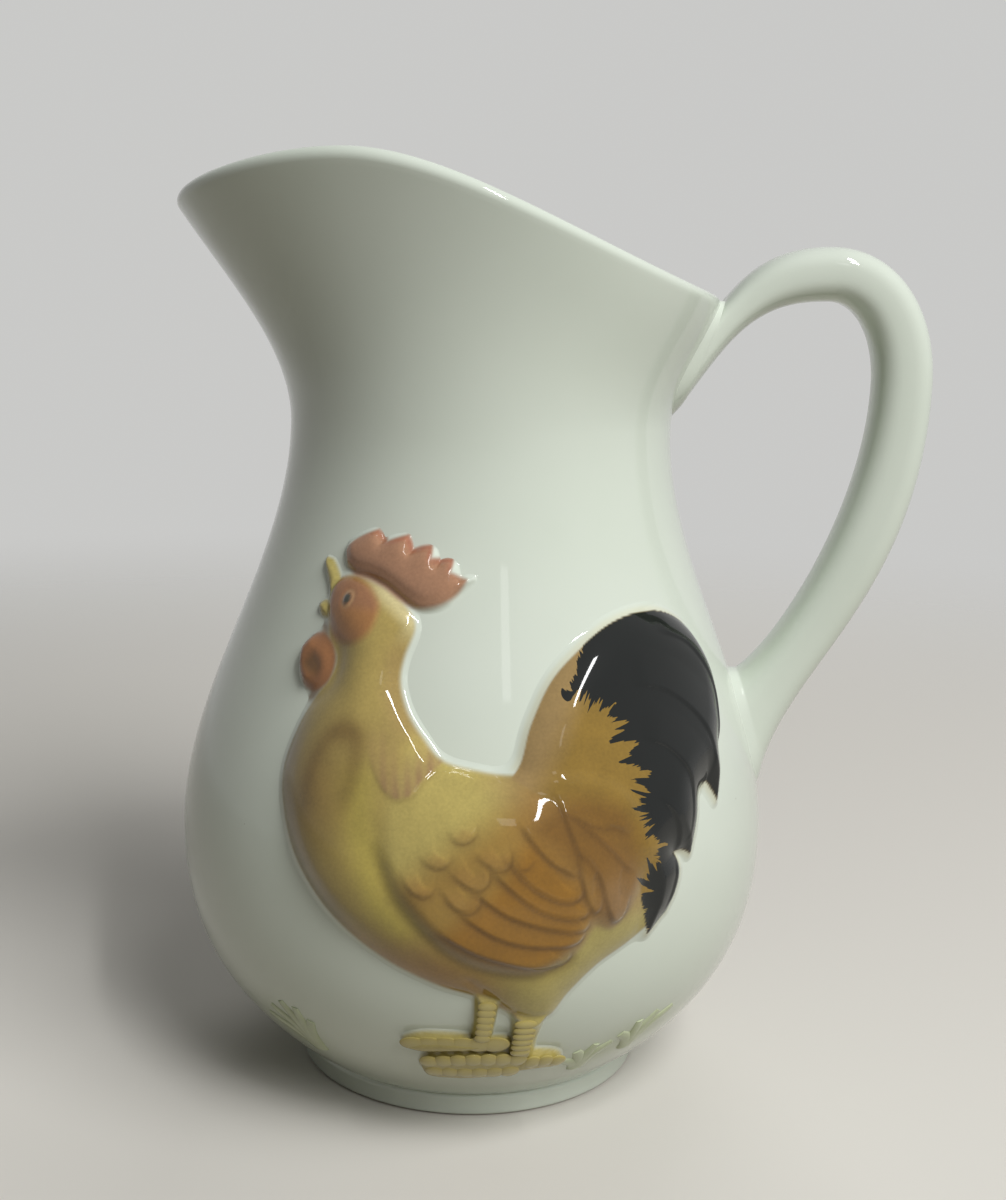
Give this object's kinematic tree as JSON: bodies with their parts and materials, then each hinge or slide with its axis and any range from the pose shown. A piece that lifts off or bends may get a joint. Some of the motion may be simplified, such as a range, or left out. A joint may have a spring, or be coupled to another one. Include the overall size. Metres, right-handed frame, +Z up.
{
  "type": "pitcher",
  "caption": "Glazed earthenware pitcher with a round belly, swept pouring spout, looped handle and a relief rooster on its sides.",
  "frame": {"origin": "middle of the foot, on the surface that the jug stands on", "axes": "+Z up, +X from the spout to the handle, so the spout points to -X and a rooster is on the -Y and the +Y side"},
  "size_m": [0.1901, 0.167, 0.2297],
  "materials": {
    "white_glaze": "glossy clear glaze on off-white earthenware",
    "olive_glaze_paint": "yellow-olive underglaze paint under clear glaze",
    "ochre_glaze_paint": "ochre-brown underglaze paint under clear glaze",
    "black_glaze_paint": "black underglaze paint under clear glaze",
    "coral_glaze_paint": "coral underglaze paint under clear glaze",
    "orange_glaze_paint": "orange underglaze paint under clear glaze",
    "straw_glaze_paint": "pale straw underglaze paint under clear glaze",
    "moss_glaze_paint": "faint green underglaze paint under clear glaze"
  },
  "bodies": {
    "root": {"jug_body": "white_glaze", "handle": "white_glaze", "rooster_head": "olive_glaze_paint", "rooster_comb": "coral_glaze_paint", "rooster_beak": "straw_glaze_paint", "rooster_wattle": "orange_glaze_paint", "rooster_hackle": "olive_glaze_paint", "rooster_breast": "olive_glaze_paint", "rooster_wing_shoulder": "olive_glaze_paint", "rooster_flight_feathers": "ochre_glaze_paint", "rooster_saddle_feathers": "ochre_glaze_paint", "rooster_tail_feathers": "black_glaze_paint", "rooster_thigh": "straw_glaze_paint", "rooster_near_leg": "straw_glaze_paint", "rooster_far_leg": "straw_glaze_paint", "grass_tufts": "moss_glaze_paint"}
  },
  "joints": []
}
